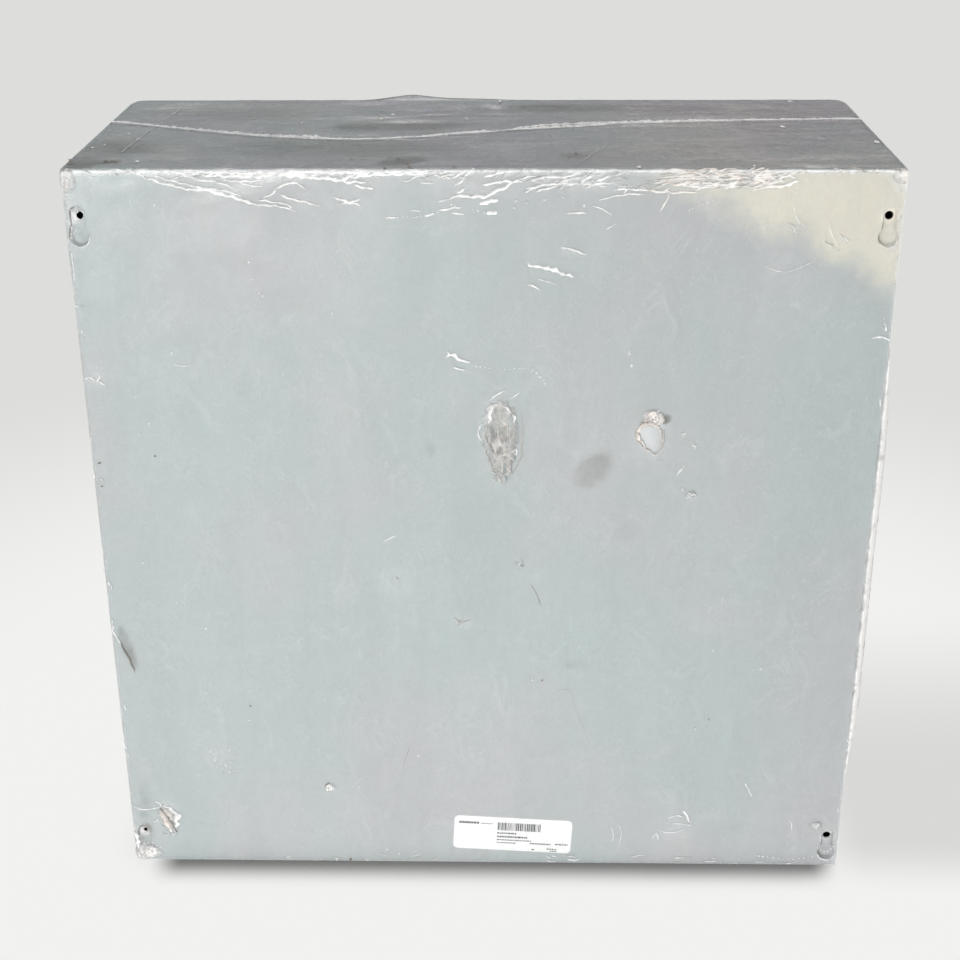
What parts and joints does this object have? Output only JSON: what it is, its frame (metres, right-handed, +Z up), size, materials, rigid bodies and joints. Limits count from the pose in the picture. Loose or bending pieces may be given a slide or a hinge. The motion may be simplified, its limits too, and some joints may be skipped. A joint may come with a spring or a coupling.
{
  "type": "current transformer cabinet",
  "caption": "Wall-mounted sheet-steel metering cabinet with keyhole back, drip hood, side-hinged cover on captive screws, padlock ears and shrink film.",
  "frame": {"origin": "middle of the width and of the overall depth, on the bottom face", "axes": "+X to the right as the cover is faced, +Y towards the wall, +Z up"},
  "size_m": [0.637, 0.2544, 0.61],
  "materials": {
    "cabinet_paint": "light grey powder coat, satin",
    "cover_paint": "light grey powder coat, satin",
    "hinge_paint": "light grey powder coat over steel",
    "galvanised_steel": "galvanised, faint spangle",
    "zinc_steel": "bright zinc plate",
    "lug_aluminium": "tin-plated, dull",
    "label_paper": "white paper with grey bars",
    "film_plastic": "clear shrink film, wrinkled"
  },
  "bodies": {
    "cabinet": {"wrapper": "cabinet_paint", "top_cap": "cabinet_paint", "bottom_cap": "cabinet_paint", "front_header": "cabinet_paint", "hinge_fixed_leaf": "hinge_paint", "hinge_pin": "zinc_steel", "cabinet_lock_ear": "cabinet_paint", "clinch_nuts": "zinc_steel", "instrument_rail_lower": "galvanised_steel", "instrument_rail_upper": "galvanised_steel", "rail_studs": "zinc_steel", "rail_washers": "zinc_steel", "rail_nuts": "zinc_steel", "ground_stud": "zinc_steel", "ground_lug": "lug_aluminium", "ground_washer": "zinc_steel", "ground_nut": "zinc_steel", "stock_label": "label_paper", "shrink_film": "film_plastic"},
    "cover": {"cover_pan": "cover_paint", "cover_stiffener": "galvanised_steel", "hinge_moving_leaf": "hinge_paint", "cover_lock_ear": "cover_paint"},
    "upper_retainer": {"retaining_washer_upper": "zinc_steel"},
    "upper_screw": {"captive_screw_upper": "zinc_steel"},
    "lower_retainer": {"retaining_washer_lower": "zinc_steel"},
    "lower_screw": {"captive_screw_lower": "zinc_steel"},
    "lug_clamp": {"lug_clamp_screw": "zinc_steel"}
  },
  "joints": [
    {"name": "cover_hinge", "type": "hinge", "parent": "cabinet", "child": "cover", "pos_m": [-0.3086, -0.102, 0.3002], "axis": [0, 0, -1], "range_deg": [0, 180]},
    {"name": "upper_screw_travel", "type": "slide", "parent": "cover", "child": "upper_retainer", "axis": [0, -1, 0], "range_m": [0, 0.0115]},
    {"name": "upper_screw_turn", "type": "hinge", "parent": "upper_retainer", "child": "upper_screw", "pos_m": [0.291, -0.11, 0.52], "axis": [0, -1, 0], "range_deg": [0, 3240]},
    {"name": "lower_screw_travel", "type": "slide", "parent": "cover", "child": "lower_retainer", "axis": [0, -1, 0], "range_m": [0, 0.0115]},
    {"name": "lower_screw_turn", "type": "hinge", "parent": "lower_retainer", "child": "lower_screw", "pos_m": [0.291, -0.11, 0.09], "axis": [0, -1, 0], "range_deg": [0, 3240]},
    {"name": "lug_clamp_travel", "type": "slide", "parent": "cabinet", "child": "lug_clamp", "axis": [0, -1, 0], "range_m": [0, 0.005]}
  ],
  "couplings": [
    {"joint": "upper_screw_travel", "follows": "upper_screw_turn", "m_per_rad": 0.00020213},
    {"joint": "lower_screw_travel", "follows": "lower_screw_turn", "m_per_rad": 0.00020213}
  ]
}
